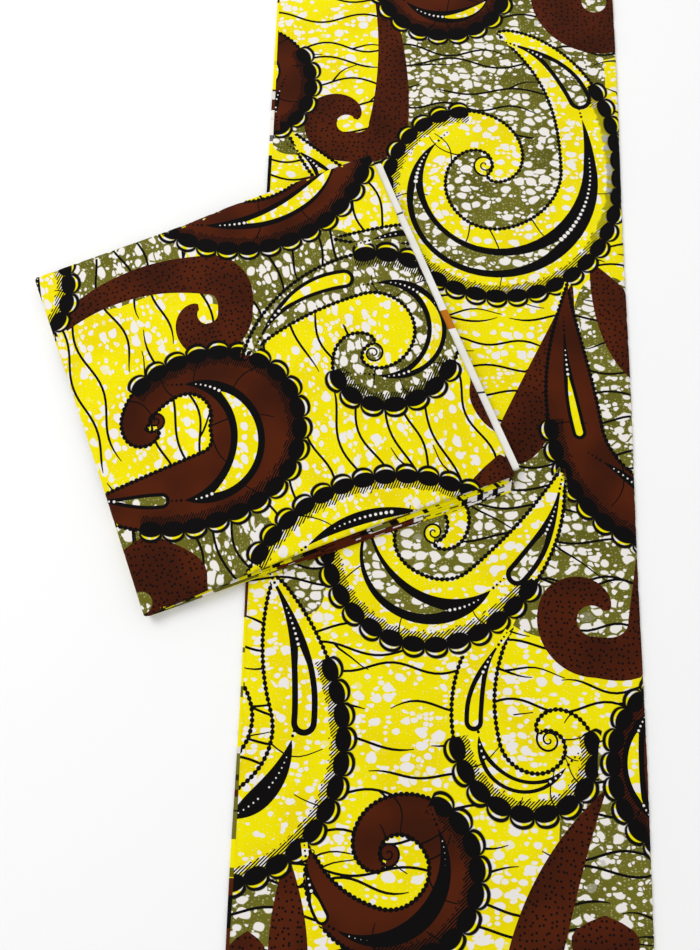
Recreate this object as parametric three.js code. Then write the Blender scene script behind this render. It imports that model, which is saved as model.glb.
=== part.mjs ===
// African wax print cloth: one stretch laid out flat in four plaited panels, and a folded bundle of the same
// cloth lying across its left edge. Millimetres, +Z up, +Y along the laid stretch, resting on Z = 0.
import * as THREE from "three";

// Driving dimensions
const CLOTH_WALL = 1.2; // a stretch of cloth that shows
const LAYER_GAP = 0.3; // air between stretches that lie on each other
const PANEL_WIDTH = 457; // half a yard, the plait of the folded length
const CLOTH_WIDTH = 1219; // 48 inches, selvedge to selvedge
const BUNDLE_TURN = 23; // degrees, anticlockwise from the laid stretch
const BUNDLE_AT = new THREE.Vector2(-217.4, 45.5); // bundle's middle from the laid stretch's middle

// Laid stretch: the hidden panels under the top one, from the table upwards. left and right say how far the
// layer's nose lies inside the stretch's left and right edge.
const LAID_LAYERS = [
  { thickness: 1.0, left: 2.2, right: 2.6 },
  { thickness: 1.0, left: 0.2, right: 1.8 },
  { thickness: 1.0, left: 0.0, right: 2.3 },
];
const LAID_TOP_INSET = 4; // the top panel's left edge lies this far inside the hidden fold
const LAID_FOLD_RADIUS = 2.4; // outer radius of the top panel's fold at the right edge
const LAID_FOLD_FOOT = 1.4; // how high the rounded fold ends above the table
const LAID_STATIONS = 16; // spans along the stretch
const EDGE_WANDER = 0.6; // how far the long edges wander from straight

// Bundle: its four corners in its own frame, from the one at the lower left, anticlockwise
const BUNDLE_CORNERS = [
  { name: "near_left", x: -228, y: -222 },
  { name: "near_right", x: 230, y: -226 },
  { name: "far_right", x: 222, y: 226 },
  { name: "far_left", x: -224, y: 222 },
];
const SIDE_BOW = { near: 4, right: 4, far: 1.5, left: 1 }; // how far the top panel's sides bow inwards
const CORNER_RADIUS = 5;

// Layer groups of the bundle, from the bottom upwards. near0 and near1 are how far the group's folds stand out
// at the near side's left and right end, the other columns at the right, far and left side.
const LOWER_LAYERS = [
  { thickness: 2.3, near0: -1.0, near1: 15.5, right: -7, far: -3.0, left: -1.5 },
  { thickness: 2.3, near0: -0.5, near1: 12.0, right: -5, far: -2.0, left: -2.5 },
  { thickness: 2.3, near0: -0.5, near1: 8.0, right: -3, far: -2.5, left: -1.0 },
  { thickness: 2.3, near0: -1.0, near1: 4.5, right: -4, far: -1.0, left: -2.0 },
];
const SELVEDGE_LAYERS = [
  { thickness: 1.0, near0: -4.5, near1: 4.0, right: 11.5, far: -14, left: -4 },
  { thickness: 1.0, near0: -4.0, near1: 4.5, right: 12.0, far: -14, left: -4 },
];
const UPPER_LAYERS = [
  { thickness: 1.7, near0: -2.5, near1: -2.0, right: -2.5, far: -2.5, left: -2.5 },
  { thickness: 1.7, near0: -2.5, near1: -2.5, right: -2.5, far: -2.5, left: -2.5 },
];
const LIP_RADIUS = 2.6; // outer radius of the top panel's rounded rim
const LIP_DROP = 3.4; // how far the rim reaches down below the top

// The bundle's underside lies on the laid stretch and, left of it, comes down to the table.
const RAMP_START = 22; // mm outside the laid stretch's left edge
const RAMP_WIDTH = 90;

// Mesh fineness
const SIDE_POINTS = 11;
const CORNER_POINTS = 3;
const INNER_RINGS = [0.2, 0.4, 0.6, 0.8, 0.93, 1];
const INNER_INSET = 16; // the innermost full outline lies this far inside the corners
const GROOVE = 0.5; // depth of the groove between two layers
const ARC_STEPS = 5;

// A layer's rounded nose: up is the share of its thickness, inset is in grooves
const NOSE = [
  { up: 0.08, inset: 1 },
  { up: 0.3, inset: 0.2 },
  { up: 0.7, inset: 0.2 },
  { up: 0.92, inset: 1 },
];
const RAW_EDGE = 0.3; // how far the laid panel's left edge is bevelled
const WANDER_LENGTH = 420; // mm between two swells of a long edge

// Colours
const LOOKS = {
  print: { color: 0xe6cf1e, roughness: 0.7, metalness: 0 },
  layers: { color: 0x6f6a2c, roughness: 0.85, metalness: 0 },
  selvedge: { color: 0xe4e0d6, roughness: 0.8, metalness: 0 },
};

const laidTop = LAID_LAYERS.reduce((sum, l) => sum + l.thickness, 0) + LAYER_GAP + CLOTH_WALL;

function namedMesh(name, geometry, look) {
  const mesh = new THREE.Mesh(geometry, new THREE.MeshStandardMaterial(LOOKS[look]));
  mesh.name = name;
  return mesh;
}

function solidFrom(points, triangles) {
  const geometry = new THREE.BufferGeometry();
  geometry.setAttribute("position", new THREE.Float32BufferAttribute(points.flat(), 3));
  geometry.setIndex(triangles.flat());
  geometry.computeVertexNormals();
  return geometry;
}

function quarterTurn() {
  return Array.from({ length: ARC_STEPS + 1 }, (_, i) => (i / ARC_STEPS) * (Math.PI / 2));
}

// Laid stretch: a closed [x, z] profile carried along Y, its middle at Y = 0
function sweepAlongY(profileAt) {
  const points = [];
  const triangles = [];
  const count = profileAt(0).length;
  for (let i = 0; i <= LAID_STATIONS; i++) {
    const y = (i / LAID_STATIONS - 0.5) * CLOTH_WIDTH;
    for (const [x, z] of profileAt(y)) points.push([x, y, z]);
  }
  for (let i = 0; i < LAID_STATIONS; i++) {
    for (let k = 0; k < count; k++) {
      const a = i * count + k;
      const b = i * count + ((k + 1) % count);
      triangles.push([a, a + count, b], [b, a + count, b + count]);
    }
  }
  const face = profileAt(0).map(([x, z]) => new THREE.Vector2(x, z));
  const last = LAID_STATIONS * count;
  for (const [a, b, c] of THREE.ShapeUtils.triangulateShape(face, [])) {
    triangles.push([a, b, c], [last + a, last + c, last + b]);
  }
  return solidFrom(points, triangles);
}

// The wander of a long edge, which has no straight line in cloth
function wander(y, phase) {
  return EDGE_WANDER * Math.sin((2 * Math.PI * y) / WANDER_LENGTH + phase);
}

// Rounded noses of stacked layers up one side: side is +1 for the right edge and -1 for the left
function noses(layers, side, edge, column) {
  const points = [];
  let z = 0;
  for (const layer of layers) {
    const x = side * (edge - layer[column]);
    for (const { up, inset } of NOSE) {
      points.push([x - side * inset * GROOVE, z + up * layer.thickness]);
    }
    z += layer.thickness;
  }
  points[0][1] = 0;
  points[points.length - 1][1] = z;
  return points;
}

function laidLowerPanels() {
  return sweepAlongY((y) => {
    const half = PANEL_WIDTH / 2;
    const right = noses(LAID_LAYERS, 1, half + wander(y, 1), "right");
    const left = noses(LAID_LAYERS, -1, half - wander(y, 0), "left");
    return [...right, ...left.reverse()];
  });
}

function laidTopPanel() {
  return sweepAlongY((y) => {
    const right = PANEL_WIDTH / 2 + wander(y, 1);
    const left = -PANEL_WIDTH / 2 + LAID_TOP_INSET + wander(y, 2);
    const middle = { x: right - LAID_FOLD_RADIUS, z: laidTop - LAID_FOLD_RADIUS };
    const arc = (radius) =>
      quarterTurn().map((angle) => [
        middle.x + radius * Math.cos(angle),
        middle.z + radius * Math.sin(angle),
      ]);
    const outer = arc(LAID_FOLD_RADIUS);
    const inner = arc(LAID_FOLD_RADIUS - CLOTH_WALL);
    return [
      [right, LAID_FOLD_FOOT],
      ...outer,
      [left + RAW_EDGE, laidTop],
      [left, laidTop - CLOTH_WALL / 2],
      [left + RAW_EDGE, laidTop - CLOTH_WALL],
      ...inner.reverse(),
      [right - CLOTH_WALL, LAID_FOLD_FOOT],
    ];
  });
}

// Bundle: where the side's line lies once it is moved outwards by a distance at its start and its end
function movedSide(i, start, end) {
  const a = BUNDLE_CORNERS[i];
  const b = BUNDLE_CORNERS[(i + 1) % 4];
  const along = new THREE.Vector2(b.x - a.x, b.y - a.y).normalize();
  const out = new THREE.Vector2(along.y, -along.x);
  return {
    from: new THREE.Vector2(a.x, a.y).addScaledVector(out, start),
    to: new THREE.Vector2(b.x, b.y).addScaledVector(out, end),
    out,
  };
}

function crossing(s, t) {
  const d = s.to.clone().sub(s.from);
  const e = t.to.clone().sub(t.from);
  const k = t.from.clone().sub(s.from).cross(e) / d.cross(e);
  return s.from.clone().addScaledVector(d, k);
}

// Outline of one layer group: the four moved sides, bowed inwards, with rounded corners. A side's points lie
// square out from those of the inner outline, so that all layers have them at the same places along the side.
function outline(group, bowShare) {
  const reach = [
    [group.near0, group.near1],
    [group.right, group.right],
    [group.far, group.far],
    [group.left, group.left],
  ];
  const bows = [SIDE_BOW.near, SIDE_BOW.right, SIDE_BOW.far, SIDE_BOW.left];
  const sides = reach.map(([start, end], i) => movedSide(i, start, end));
  const innerSides = reach.map((_, i) => movedSide(i, -INNER_INSET, -INNER_INSET));
  const corner = (list, i) => crossing(list[(i + 3) % 4], list[i % 4]);
  const points = [];
  sides.forEach((side, i) => {
    const a = corner(sides, i);
    const b = corner(sides, i + 1);
    const before = corner(sides, i + 3);
    const start = a.clone().add(b.clone().sub(a).setLength(CORNER_RADIUS));
    const arrive = a.clone().add(before.clone().sub(a).setLength(CORNER_RADIUS));
    points.push(...new THREE.QuadraticBezierCurve(arrive, a, start).getPoints(CORNER_POINTS));
    const innerA = corner(innerSides, i);
    const innerB = corner(innerSides, i + 1);
    for (let k = 1; k <= SIDE_POINTS; k++) {
      const s = k / (SIDE_POINTS + 1);
      const bow = -bowShare * bows[i] * 4 * s * (1 - s);
      const out = INNER_INSET + THREE.MathUtils.lerp(reach[i][0], reach[i][1], s) + bow;
      points.push(innerA.clone().lerp(innerB, s).addScaledVector(side.out, out));
    }
  });
  return points;
}

const innerGroup = {
  near0: -INNER_INSET,
  near1: -INNER_INSET,
  right: -INNER_INSET,
  far: -INNER_INSET,
  left: -INNER_INSET,
};
const innerOutline = outline(innerGroup, 0);

// Height of what the bundle lies on, at a point of its own frame
function baseHeight(point) {
  const turn = THREE.MathUtils.degToRad(BUNDLE_TURN);
  const x = BUNDLE_AT.x + point.x * Math.cos(turn) - point.y * Math.sin(turn);
  const rampEnd = -PANEL_WIDTH / 2 - RAMP_START;
  return (laidTop + LAYER_GAP) * THREE.MathUtils.smootherstep(x, rampEnd - RAMP_WIDTH, rampEnd);
}

// A closed solid from rings that run from the middle of the underside, round the rim, to the middle of the top.
// A ring is { points, level }, with level the height above what the bundle lies on. Outside the inner outline
// each layer keeps the height that it has there, so that layers of different reach stay apart.
function closeRings(rings, lowLevel, highLevel) {
  const points = [];
  const triangles = [];
  const count = rings[0].points.length;
  const middle = new THREE.Vector2(0, 0);
  points.push([0, 0, baseHeight(middle) + lowLevel]);
  for (const ring of rings) {
    ring.points.forEach((p, k) => {
      const under = ring.inner ? p : innerOutline[k];
      points.push([p.x, p.y, baseHeight(under) + ring.level]);
    });
  }
  points.push([0, 0, baseHeight(middle) + highLevel]);
  const last = points.length - 1;
  const at = (ring, k) => 1 + ring * count + (k % count);
  for (let k = 0; k < count; k++) {
    triangles.push([0, at(0, k + 1), at(0, k)]);
    triangles.push([last, at(rings.length - 1, k), at(rings.length - 1, k + 1)]);
  }
  // Top and underside are cut along the same diagonals, so that the layers nest where the bundle bends.
  for (let r = 0; r + 1 < rings.length; r++) {
    for (let k = 0; k < count; k++) {
      const [a, b, c, d] = [at(r, k), at(r, k + 1), at(r + 1, k), at(r + 1, k + 1)];
      if (r < rings.length / 2) triangles.push([a, b, c], [b, d, c]);
      else triangles.push([a, b, d], [a, d, c]);
    }
  }
  return solidFrom(points, triangles);
}

function innerRings(level) {
  return INNER_RINGS.map((share) => ({
    points: innerOutline.map((p) => p.clone().multiplyScalar(share)),
    level,
    inner: true,
  }));
}

// The outline moved inwards along its own normals by about the given distance
function insetOutline(points, distance) {
  return points.map((p, i) => {
    const before = points[(i + points.length - 1) % points.length];
    const after = points[(i + 1) % points.length];
    const along = after.clone().sub(before).normalize();
    return new THREE.Vector2(p.x - along.y * distance, p.y + along.x * distance);
  });
}

// A group of hidden layers: flat below and above, with a rounded nose for each layer round the rim
function layerStack(layers, bottom, bowShare) {
  const rings = innerRings(bottom);
  let level = bottom;
  layers.forEach((layer, i) => {
    const rim = outline(layer, bowShare);
    NOSE.forEach(({ up, inset }, k) => {
      const first = i === 0 && k === 0;
      const final = i === layers.length - 1 && k === NOSE.length - 1;
      const share = first ? 0 : final ? 1 : up;
      const points = insetOutline(rim, 2 * inset * GROOVE);
      rings.push({ points, level: level + share * layer.thickness });
    });
    level += layer.thickness;
  });
  rings.push(...innerRings(level).reverse());
  return closeRings(rings, bottom, level);
}

// The bundle's top panel: a wall with a rounded rim that turns down over the hidden layers
function foldedTopPanel(bottom) {
  const top = bottom + CLOTH_WALL;
  const rim = outline({ near0: 0, near1: 0, right: 0, far: 0, left: 0 }, 1);
  const rounded = (radius) =>
    quarterTurn().map((angle) => ({
      points: insetOutline(rim, LIP_RADIUS - radius * Math.sin(angle)),
      level: top - LIP_RADIUS + radius * Math.cos(angle),
    }));
  const inner = rounded(LIP_RADIUS - CLOTH_WALL);
  const outer = rounded(LIP_RADIUS);
  const foot = top - LIP_DROP;
  const rings = [
    ...innerRings(bottom),
    ...inner,
    { points: insetOutline(rim, CLOTH_WALL), level: foot },
    { points: rim, level: foot },
    ...outer.reverse(),
    ...innerRings(top).reverse(),
  ];
  return closeRings(rings, bottom, top);
}

const stackHeight = (layers) => layers.reduce((sum, l) => sum + l.thickness, 0);
const selvedgeBottom = stackHeight(LOWER_LAYERS) + LAYER_GAP;
const upperBottom = selvedgeBottom + stackHeight(SELVEDGE_LAYERS) + LAYER_GAP;
const topBottom = upperBottom + stackHeight(UPPER_LAYERS) + LAYER_GAP;

const laid = new THREE.Group();
laid.add(namedMesh("laid_lower_panels", laidLowerPanels(), "layers"));
laid.add(namedMesh("laid_top_panel", laidTopPanel(), "print"));

const bundle = new THREE.Group();
bundle.add(namedMesh("folded_lower_layers", layerStack(LOWER_LAYERS, 0, 0.3), "layers"));
bundle.add(namedMesh("folded_selvedge_layers", layerStack(SELVEDGE_LAYERS, selvedgeBottom, 1), "selvedge"));
bundle.add(namedMesh("folded_upper_layers", layerStack(UPPER_LAYERS, upperBottom, 1), "layers"));
bundle.add(namedMesh("folded_top_panel", foldedTopPanel(topBottom), "print"));
bundle.position.set(BUNDLE_AT.x, BUNDLE_AT.y, 0);
bundle.rotation.z = THREE.MathUtils.degToRad(BUNDLE_TURN);

// The whole cloth, moved so that the middle of its footprint is the origin
const cloth = new THREE.Group();
cloth.add(laid, bundle);
cloth.updateMatrixWorld(true);
const footprint = new THREE.Box3().setFromObject(cloth, true).getCenter(new THREE.Vector3());
cloth.position.set(-footprint.x, -footprint.y, 0);

export default cloth;
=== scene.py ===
"""Wax print cotton: a stretch laid flat in plaited panels, with a folded bundle of it on its left edge."""

import math

import bpy
import numpy as np
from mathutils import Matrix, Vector
from mathutils.geometry import delaunay_2d_cdt


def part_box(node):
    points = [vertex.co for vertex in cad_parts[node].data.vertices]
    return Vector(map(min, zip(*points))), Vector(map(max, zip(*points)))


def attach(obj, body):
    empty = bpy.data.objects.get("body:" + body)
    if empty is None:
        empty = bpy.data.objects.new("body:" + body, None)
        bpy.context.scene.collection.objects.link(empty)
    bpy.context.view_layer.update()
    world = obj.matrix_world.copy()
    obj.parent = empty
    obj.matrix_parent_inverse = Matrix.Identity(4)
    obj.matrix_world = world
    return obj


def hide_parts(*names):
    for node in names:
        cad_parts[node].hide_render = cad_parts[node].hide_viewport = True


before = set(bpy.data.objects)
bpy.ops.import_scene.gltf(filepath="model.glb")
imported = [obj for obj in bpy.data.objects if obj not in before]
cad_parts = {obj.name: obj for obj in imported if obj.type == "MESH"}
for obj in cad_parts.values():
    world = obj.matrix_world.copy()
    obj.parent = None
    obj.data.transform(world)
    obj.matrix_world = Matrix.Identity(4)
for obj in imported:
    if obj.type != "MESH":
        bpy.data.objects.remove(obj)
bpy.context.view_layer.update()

# Sizes of the cloth, in millimetres
MM = 0.001
PANEL_WIDTH = 457.0
CLOTH_WIDTH = 1219.0
LAID_TOP = 4.5
LAID_LEFT_INSET = 4.0
LAID_FOLD_RADIUS = 2.4
LAID_FOLD_FOOT = 1.4
CLOTH_WALL = 1.0
EDGE_WANDER = 0.6
WANDER_LENGTH = 420.0
BUNDLE_AT = np.array([-217.4, 45.5])
BUNDLE_TURN = math.radians(23)
BUNDLE_TOP = 16.7
LIP_RADIUS = 2.6
LIP_DROP = 3.4
RAMP_START = 22.0
RAMP_WIDTH = 90.0
INNER_INSET = 16.0

# Kinds of ink and of repeated mark in the print
YELLOW, OLIVE, MAROON, DOTTED, BLACK = range(5)
BEADS, SCALLOPS, WHITE_DOTS, BLACK_DOTS = 1, 2, 3, 4
BEAD = 6.0
SCALLOP = 26.0
VEIN = 2.9
# A tail that turns by more than STEEP_BEND degrees does so mostly near its tip
STEEP_BEND, LATE_BEND = 50, 1.3


# Lines and loops in the flat cloth

def table(columns, rows):
    return [dict(zip(columns.split(), row)) for row in rows]


def unit(v):
    return v / np.maximum(np.linalg.norm(v, axis=-1, keepdims=True), 1e-9)


def normals_of(line):
    """Left-hand normals of an open line."""
    along = unit(np.gradient(line, axis=0))
    return np.stack([-along[:, 1], along[:, 0]], axis=1)


def lengths_of(line):
    return np.concatenate([[0], np.cumsum(np.linalg.norm(np.diff(line, axis=0), axis=1))])


def resampled(line, step):
    along = lengths_of(line)
    count = max(2, int(round(along[-1] / step)) + 1)
    at = np.linspace(0, along[-1], count)
    return np.stack([np.interp(at, along, line[:, i]) for i in (0, 1)], axis=1)


def smooth(x, low, high):
    t = np.clip((x - low) / (high - low), 0, 1)
    return t * t * (3 - 2 * t)


def smoother(x, low, high):
    t = np.clip((x - low) / (high - low), 0, 1)
    return t * t * t * (t * (6 * t - 15) + 10)


def spoke(angle):
    """Unit vectors at angles in radians."""
    return np.stack([np.cos(angle), np.sin(angle)], axis=1)


def heading_of(way):
    return math.degrees(math.atan2(way[1], way[0]))


def circle(x, y, radius, count):
    return np.array([x, y]) + radius * spoke(np.linspace(0, 2 * np.pi, count, endpoint=False))


def tube(line, half):
    """The loop round a line at a half-width that may change along it."""
    offset = normals_of(line) * np.broadcast_to(half, len(line))[:, None]
    return np.concatenate([line + offset, (line - offset)[::-1]])


def bent_line(x, y, heading, length, bend, step=7.0, wave=0.0, waves=2.0, phase=0.0, late=1.0):
    """A line whose heading turns by bend degrees over its length, mostly near its end if late is over 1."""
    count = max(4, int(length / step) + 1)
    s = np.linspace(0, 1, count)
    angle = np.radians(heading + bend * s ** late) + wave * np.sin(2 * np.pi * waves * s + phase)
    d = spoke(angle) * length / (count - 1)
    return np.array([x, y]) + np.concatenate([[[0, 0]], np.cumsum((d[1:] + d[:-1]) / 2, axis=0)])


def winding(points, loop):
    """How many times a closed loop runs round each point."""
    x, y = points[:, 0, None], points[:, 1, None]
    a, b = loop, np.roll(loop, -1, axis=0)
    side = (b[:, 0] - a[:, 0]) * (y - a[:, 1]) - (x - a[:, 0]) * (b[:, 1] - a[:, 1])
    up = (a[:, 1] <= y) & (b[:, 1] > y) & (side > 0)
    down = (a[:, 1] > y) & (b[:, 1] <= y) & (side < 0)
    return up.sum(axis=1) - down.sum(axis=1)


def inside(points, loop):
    """Which points a closed loop holds."""
    low, high = loop.min(axis=0), loop.max(axis=0)
    near = np.nonzero(((points >= low) & (points <= high)).all(axis=1))[0]
    held = np.zeros(len(points), bool)
    for start in range(0, len(near), 4000):
        part = near[start:start + 4000]
        held[part] = winding(points[part], loop) != 0
    return held


def nearest_on(points, line, first=None, reach=None):
    """Segment, place along it and signed distance to the left, for the nearest place on a line."""
    a, b = line[:-1], line[1:]
    if first is None:
        index = np.broadcast_to(np.arange(len(a)), (len(points), len(a)))
    else:
        index = np.clip(first[:, None] + np.arange(-reach, reach + 1), 0, len(a) - 1)
    start, d = a[index], (b - a)[index]
    t = ((points[:, None] - start) * d).sum(axis=2) / np.maximum((d * d).sum(axis=2), 1e-9)
    t = np.clip(t, 0, 1)
    off = points[:, None] - start - d * t[..., None]
    best = np.linalg.norm(off, axis=2).argmin(axis=1)
    row = np.arange(len(points))
    d, off, t, index = d[row, best], off[row, best], t[row, best], index[row, best]
    left = (d[:, 0] * off[:, 1] - d[:, 1] * off[:, 0]) / np.maximum(np.linalg.norm(d, axis=1), 1e-9)
    return index, t, left


# The print, as shapes in painting order

class Print:
    def __init__(self):
        self.shapes = []

    def fill(self, loop, ink):
        self.shapes.append({"loop": np.asarray(loop, float), "ink": ink, "lane": None})

    def stroke(self, line, width):
        self.fill(tube(line, width / 2), BLACK)

    def band(self, line, low, high, kind, pitch, size=1.0):
        """A strip from low to high on the left of a line, which carries a repeated mark."""
        normal = normals_of(line)
        loop = np.concatenate([line + normal * low, (line + normal * high)[::-1]])
        total = lengths_of(line)
        count = max(1, round(total[-1] / pitch))
        lane = {
            "kind": kind,
            "line": line,
            "u": total / total[-1] * count,
            "pitch": total[-1] / count,
            "size": np.broadcast_to(size, len(line)).astype(float),
        }
        self.shapes.append({"loop": loop, "ink": None, "lane": lane})

    def beads(self, line):
        self.band(resampled(line, 6), -0.6 * BEAD, 0.6 * BEAD, BEADS, BEAD)


def spine(row):
    """A scroll's middle line from its tip to its neck, its half-width and its measure, and its last angle.

    The measure is -1 at the tip, 0 where the tail meets the belly, then radians round the curl.
    """
    neck = row["wide"] + math.log(row["radius"] / row["snail"]) / row["tight"]
    round_curl = np.append(np.arange(0, neck, 0.12), neck)
    wound = 0.4 * np.log1p(np.exp(np.clip((round_curl - row["wide"]) / 0.4, -30, 30)))
    share = np.exp(-row["tight"] * wound)
    angle = math.radians(row["leave"]) + row["hand"] * round_curl
    centre = np.array([row["x"], row["y"]]) + np.array(row["lean"]) * share[:, None] ** 2
    curl = centre + row["radius"] * share[:, None] * spoke(angle)
    late = LATE_BEND if row["bend"] > STEEP_BEND else 1.0
    tail = bent_line(*curl[0], heading_of(curl[0] - curl[1]), row["tail"], row["bend"], late=late)[::-1]
    along_tail = np.linspace(-1, 0, len(tail))
    belly = row["lead"] + (1 - row["lead"]) * smooth(round_curl, 0, 1.3)
    taper = np.sqrt(np.clip((neck - round_curl) / 1.4, 0, 1))
    amount, thin_from, thin_to = row["thin"]
    slim = 1 - amount * smooth(round_curl, thin_from, thin_to)
    half_curl = row["half"] * belly * slim * share ** 0.55 * taper
    half_tail = half_curl[0] * np.sin(np.pi / 2 * (1 + along_tail)) ** row["swell"]
    line = np.concatenate([tail[:-1], curl])
    half = np.concatenate([half_tail[:-1], half_curl])
    return line, half, np.concatenate([along_tail[:-1], round_curl]), angle[-1]


def scroll(art, row, seed):
    line, half, measure, last_angle = spine(row)
    hand = row["hand"]
    normal = normals_of(line)
    outer = line - hand * normal * half[:, None]
    inner = line + hand * normal * half[:, None]
    if row["ground"] is not None:
        low, high = np.searchsorted(measure, (-0.35, min(5.9, measure[-1])))
        art.fill(line[low:high], row["ground"])
    turn = np.arange(0, 1.8 * 2 * np.pi, 0.3)
    reach = row["snail"] * (1 - 0.95 * turn / turn[-1])
    around = last_angle + hand * turn
    snail = np.array([row["x"], row["y"]]) + reach[:, None] * spoke(around)
    art.fill(tube(line, half), row["ink"])
    art.fill(snail[:22], row["ink"])
    body_veins(art, inner, outer, measure, seed)
    snail = np.concatenate([line[-2:-1], snail])
    art.stroke(snail, np.linspace(2.8, 1.6, len(snail)))
    art.beads(inner)
    art.beads(outer)
    for start, end in row["scallops"]:
        low, high = np.searchsorted(measure, (start, end))
        run = resampled(outer[low:high + 1], 6)
        art.band(run[::-1] if hand < 0 else run, -0.6 * SCALLOP, 0.8 * SCALLOP, SCALLOPS, SCALLOP)


def body_veins(art, inner, outer, measure, seed):
    """Thin lines across a scroll's body, some of them the whole way."""
    rng = np.random.default_rng(seed)
    for at in np.arange(0.2, 4.5, 0.62) + rng.uniform(-0.2, 0.2):
        k = np.searchsorted(measure, at + rng.uniform(-0.15, 0.15))
        m = min(k + rng.integers(-2, 3), len(inner) - 1)
        a, b = (inner[k], outer[m]) if rng.random() < 0.5 else (outer[k], inner[m])
        reach = rng.choice([0.45, 0.7, 1.0])
        s = np.linspace(0, reach, 8)[:, None]
        side = np.array([a[1] - b[1], b[0] - a[0]])
        sway = side * 0.12 * np.sin(np.pi * s * rng.uniform(0.8, 1.6)) * rng.choice([-1, 1])
        run = a + (b - a) * s + sway
        art.stroke(run, 1.9 * np.linspace(1, 0.6, len(run)))


def arc(x0, y0, x1, y1, bulge, step=5.0):
    """A circular arc between two places, bulging to its left by the given height."""
    a, b = np.array([x0, y0], float), np.array([x1, y1], float)
    chord = np.linalg.norm(b - a)
    side = np.array([a[1] - b[1], b[0] - a[0]]) / chord
    if abs(bulge) < 0.5:
        return resampled(np.stack([a, b]), step)
    radius = (chord * chord / 4 + bulge * bulge) / (2 * bulge)
    centre = (a + b) / 2 + side * (bulge - radius)
    start = math.atan2(*(a - centre)[::-1])
    sweep = -4 * math.atan(2 * bulge / chord)
    turn = start + np.linspace(0, sweep, max(6, int(abs(radius * sweep) / step)))
    return centre + abs(radius) * spoke(turn)


def dots(art, line, kind, low, high, pitch=6.2):
    """A row of dots that grow along a line."""
    if len(line) > 1 and lengths_of(line)[-1] > 1.6 * pitch:
        line = resampled(line, 3)
        art.band(line, -3.6, 3.6, kind, pitch, np.linspace(low, high, len(line)))


def trail(art, line, end):
    """Small black dots that run on from a pointed end and get smaller."""
    tip, back = (line[0], line[2]) if end == 0 else (line[-1], line[-3])
    ahead = tip + unit(tip - back) * np.array([[24.0], [2.0]])
    dots(art, ahead, BLACK_DOTS, 0.45, 0.95, 5.6)


def crescent(art, run, row):
    """A crescent pointed at both ends: black, open in its belly, with white dots in its solid ends."""
    s = np.linspace(0, 1, len(run))
    peak = row["peak"]
    bend = np.where(s < peak, s / peak, (1 - s) / (1 - peak))
    belly = np.sin(np.pi / 2 * bend) ** 0.9
    art.fill(tube(run, belly * (row["width"] / 2 + row["line"]) + 0.3), BLACK)
    first, last = (np.searchsorted(s, limit) for limit in (row["solid0"], 1 - row["solid1"]))
    if row["width"] > 0:
        spread = 1 - row["solid0"] - row["solid1"]
        opened = np.clip((s[first:last + 1] - row["solid0"]) / spread, 0, 1)
        grow = np.clip(np.minimum(opened / peak, (1 - opened) / (1 - peak)), 0, 1)
        hole = np.sin(np.pi / 2 * grow) ** 0.8 * row["width"] / 2 + 0.2
        art.fill(tube(run[first:last + 1], hole), row["ink"])
    dots(art, run[int(first * 0.3):first + 1], WHITE_DOTS, 0.3, row["dot"])
    dots(art, run[last:len(run) - int((len(run) - last) * 0.3)][::-1], WHITE_DOTS, 0.3, row["dot"])
    trail(art, run, 0)
    trail(art, run, 1)


def needle(art, row):
    """A needle's eye: a long drop from its pointed tip to its round end, open in its wide part."""
    run = arc(row["x"], row["y"], row["to_x"], row["to_y"], row["bulge"], 3.0)
    half = row["width"] / 2
    s = lengths_of(run) / (lengths_of(run)[-1] - half)
    run, s = run[s <= 1], s[s <= 1]
    shape = half * (0.12 + 0.88 * smooth(s, 0.0, 0.85) ** 0.8)
    art.fill(tube(run, shape), BLACK)
    art.fill(circle(*run[-1], shape[-1], 28), BLACK)
    first = np.searchsorted(s, row["solid"])
    hole = np.clip(shape - row["line"], 0, None) * np.clip((s - row["solid"]) / 0.15, 0, 1) ** 0.6 + 0.2
    art.fill(tube(run[first:], hole[first:]), row["ink"])
    art.fill(circle(*run[-1], hole[-1], 24), row["ink"])
    dots(art, run[int(first * 0.35):first + 1], WHITE_DOTS, 0.3, 0.8)
    trail(art, run, 0)


def patch(art, row):
    """A rounded area of olive ground."""
    a = np.linspace(0, 2 * np.pi, 48, endpoint=False)
    u = row["across"] * np.sign(np.cos(a)) * np.abs(np.cos(a)) ** 0.75
    v = row["along"] * np.sign(np.sin(a)) * np.abs(np.sin(a)) ** 0.75
    t = math.radians(row["turn"])
    x = row["x"] + u * math.cos(t) - v * math.sin(t)
    y = row["y"] + u * math.sin(t) + v * math.cos(t)
    art.fill(np.stack([x, y], axis=1), OLIVE)


def hook(art, row):
    """A plain dotted horn that curls in round a small hole, to a pointed end."""
    turn = np.arange(0, row["sweep"] + 0.01, 0.12)
    taper = np.clip((row["sweep"] + 0.02 - turn) / 2.1, 0, 1) ** 0.6
    half = row["half"] * (1 - 0.18 * smooth(turn, 0, 1.5)) * taper
    inner = row["hole"] + (row["gap"] - row["hole"]) * (1 - smooth(turn, 0, 1.6))
    angle = math.radians(row["leave"]) + row["hand"] * turn
    curl = np.array([row["x"], row["y"]]) + (inner + half)[:, None] * spoke(angle)
    tail = bent_line(*curl[0], heading_of(curl[0] - curl[1]), row["tail"], row["bend"])[::-1]
    half_tail = half[0] * np.linspace(row["slim"], 1, len(tail))
    art.fill(tube(np.concatenate([tail[:-1], curl]), np.concatenate([half_tail[:-1], half])), DOTTED)


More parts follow.
